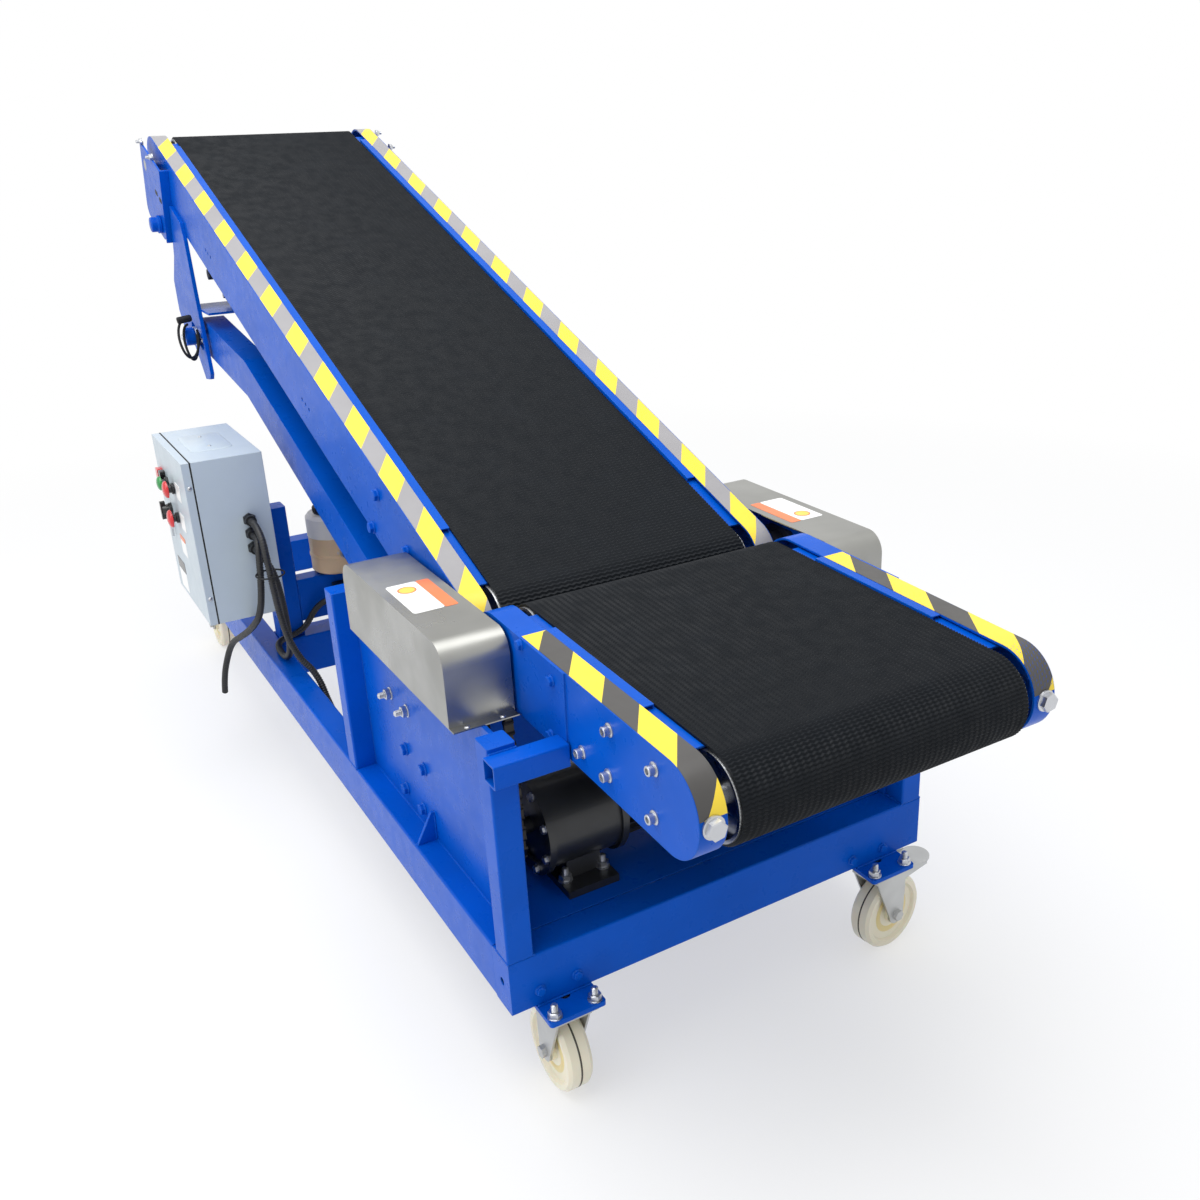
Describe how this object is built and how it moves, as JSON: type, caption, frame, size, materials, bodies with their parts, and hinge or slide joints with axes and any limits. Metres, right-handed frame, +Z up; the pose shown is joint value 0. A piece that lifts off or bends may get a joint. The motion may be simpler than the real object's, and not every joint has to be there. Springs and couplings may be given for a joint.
{
  "type": "portable belt conveyor",
  "caption": "Wheeled belt conveyor: a low feed belt passes goods to a lifting boom belt on a braced steel base with swivel casters.",
  "frame": {"origin": "middle of the footprint's box on the floor, without the free conduits", "axes": "+X towards the low feed end, +Y away from the control cabinet's side, +Z up"},
  "size_m": [2.8189, 1.0508, 1.4746],
  "materials": {
    "blue_paint": "gloss",
    "zinc": "satin",
    "bearing_iron": "matte",
    "belt_rubber": "matte",
    "drum_steel": "satin",
    "stainless": "satin",
    "motor_black": "satin",
    "chain_steel": "satin",
    "cabinet_grey": "satin",
    "gland_black": "matte",
    "button_plastic": "gloss",
    "tank_paint": "satin",
    "rod_chrome": "polished",
    "wheel_nylon": "satin",
    "conduit_black": "matte"
  },
  "bodies": {
    "base": {"base_rail_left": "blue_paint", "base_rail_right": "blue_paint", "base_cross_tubes": "blue_paint", "caster_pads": "blue_paint", "caster_top_plates": "zinc", "side_frame_left": "blue_paint", "side_frame_right": "blue_paint", "shaft_bearings": "bearing_iron", "feed_side_left": "blue_paint", "feed_side_right": "blue_paint", "feed_bed": "blue_paint", "feed_belt": "belt_rubber", "feed_drums": "drum_steel", "drive_cover_left": "stainless", "drive_cover_right": "stainless", "feed_motor_plate": "blue_paint", "feed_gearmotor": "motor_black", "feed_chain_drive": "chain_steel", "control_posts": "blue_paint", "control_cabinet": "cabinet_grey", "cable_glands": "gland_black", "power_unit": "tank_paint", "arm_pivot_pins": "zinc", "cylinder_foot": "blue_paint", "conduit_long": "conduit_black", "conduit_tail": "conduit_black", "conduit_pump": "conduit_black", "power_hose": "conduit_black"},
    "boom": {"boom_side_left": "blue_paint", "boom_side_right": "blue_paint", "boom_bed": "blue_paint", "boom_belt": "belt_rubber", "boom_drums": "drum_steel", "head_brackets": "blue_paint", "hanger_left": "blue_paint", "hanger_right": "blue_paint", "motor_shelf": "blue_paint", "boom_gearmotor": "motor_black"},
    "lift_arms": {"lift_arm_left": "blue_paint", "lift_arm_right": "blue_paint", "arm_cross_tubes": "blue_paint", "arm_upper_pins": "zinc"},
    "cylinder_barrel": {"cylinder_barrel": "blue_paint"},
    "cylinder_rod": {"cylinder_rod": "rod_chrome"},
    "cabinet_door": {"cabinet_door": "cabinet_grey", "door_controls": "button_plastic"},
    "caster_fork_1": {"caster_fork_1": "zinc"},
    "caster_wheel_1": {"caster_wheel_1": "wheel_nylon"},
    "caster_fork_2": {"caster_fork_2": "zinc"},
    "caster_wheel_2": {"caster_wheel_2": "wheel_nylon"},
    "caster_fork_3": {"caster_fork_3": "zinc"},
    "caster_wheel_3": {"caster_wheel_3": "wheel_nylon"},
    "caster_fork_4": {"caster_fork_4": "zinc"},
    "caster_wheel_4": {"caster_wheel_4": "wheel_nylon"}
  },
  "joints": [
    {"name": "boom_lift", "type": "hinge", "parent": "base", "child": "boom", "pos_m": [0.64958, 0.05856, 0.703], "axis": [0, 1, 0], "range_deg": [-10, 8]},
    {"name": "arm_swing", "type": "hinge", "parent": "base", "child": "lift_arms", "pos_m": [0.40358, 0.05856, 0.545], "axis": [0, 1, 0], "range_deg": [-11.5, 9.2]},
    {"name": "cylinder_swing", "type": "hinge", "parent": "base", "child": "cylinder_barrel", "pos_m": [0.22358, 0.05856, 0.352], "axis": [0, 1, 0], "range_deg": [-12.5, 10]},
    {"name": "rod_slide", "type": "slide", "parent": "cylinder_barrel", "child": "cylinder_rod", "axis": [-0.8325, 0, 0.554], "range_m": [-0.055, 0.045]},
    {"name": "door_hinge", "type": "hinge", "parent": "base", "child": "cabinet_door", "pos_m": [-0.62242, -0.48244, 0.6275], "axis": [0, 0, -1], "range_deg": [0, 110]},
    {"name": "caster_swivel_1", "type": "hinge", "parent": "base", "child": "caster_fork_1", "pos_m": [1.02358, -0.27644, 0.18], "axis": [0, 0, 1], "continuous": true},
    {"name": "wheel_spin_1", "type": "hinge", "parent": "caster_fork_1", "child": "caster_wheel_1", "pos_m": [0.99358, -0.27644, 0.075], "axis": [0, -1, 0], "continuous": true},
    {"name": "caster_swivel_2", "type": "hinge", "parent": "base", "child": "caster_fork_2", "pos_m": [1.02358, 0.38356, 0.18], "axis": [0, 0, 1], "continuous": true},
    {"name": "wheel_spin_2", "type": "hinge", "parent": "caster_fork_2", "child": "caster_wheel_2", "pos_m": [1.0194, 0.41327, 0.075], "axis": [-0.9903, -0.1392, 0], "continuous": true},
    {"name": "caster_swivel_3", "type": "hinge", "parent": "base", "child": "caster_fork_3", "pos_m": [-1.17642, -0.31844, 0.18], "axis": [0, 0, 1], "continuous": true},
    {"name": "wheel_spin_3", "type": "hinge", "parent": "caster_fork_3", "child": "caster_wheel_3", "pos_m": [-1.20642, -0.31844, 0.075], "axis": [0, -1, 0], "continuous": true},
    {"name": "caster_swivel_4", "type": "hinge", "parent": "base", "child": "caster_fork_4", "pos_m": [-1.17642, 0.43556, 0.18], "axis": [0, 0, 1], "continuous": true},
    {"name": "wheel_spin_4", "type": "hinge", "parent": "caster_fork_4", "child": "caster_wheel_4", "pos_m": [-1.20424, 0.4468, 0.075], "axis": [-0.3746, -0.9272, 0], "continuous": true}
  ],
  "couplings": [
    {"joint": "arm_swing", "follows": "boom_lift", "ratio": 1.12},
    {"joint": "cylinder_swing", "follows": "boom_lift", "ratio": 1.206},
    {"joint": "rod_slide", "follows": "boom_lift", "m_per_rad": 0.2947}
  ]
}
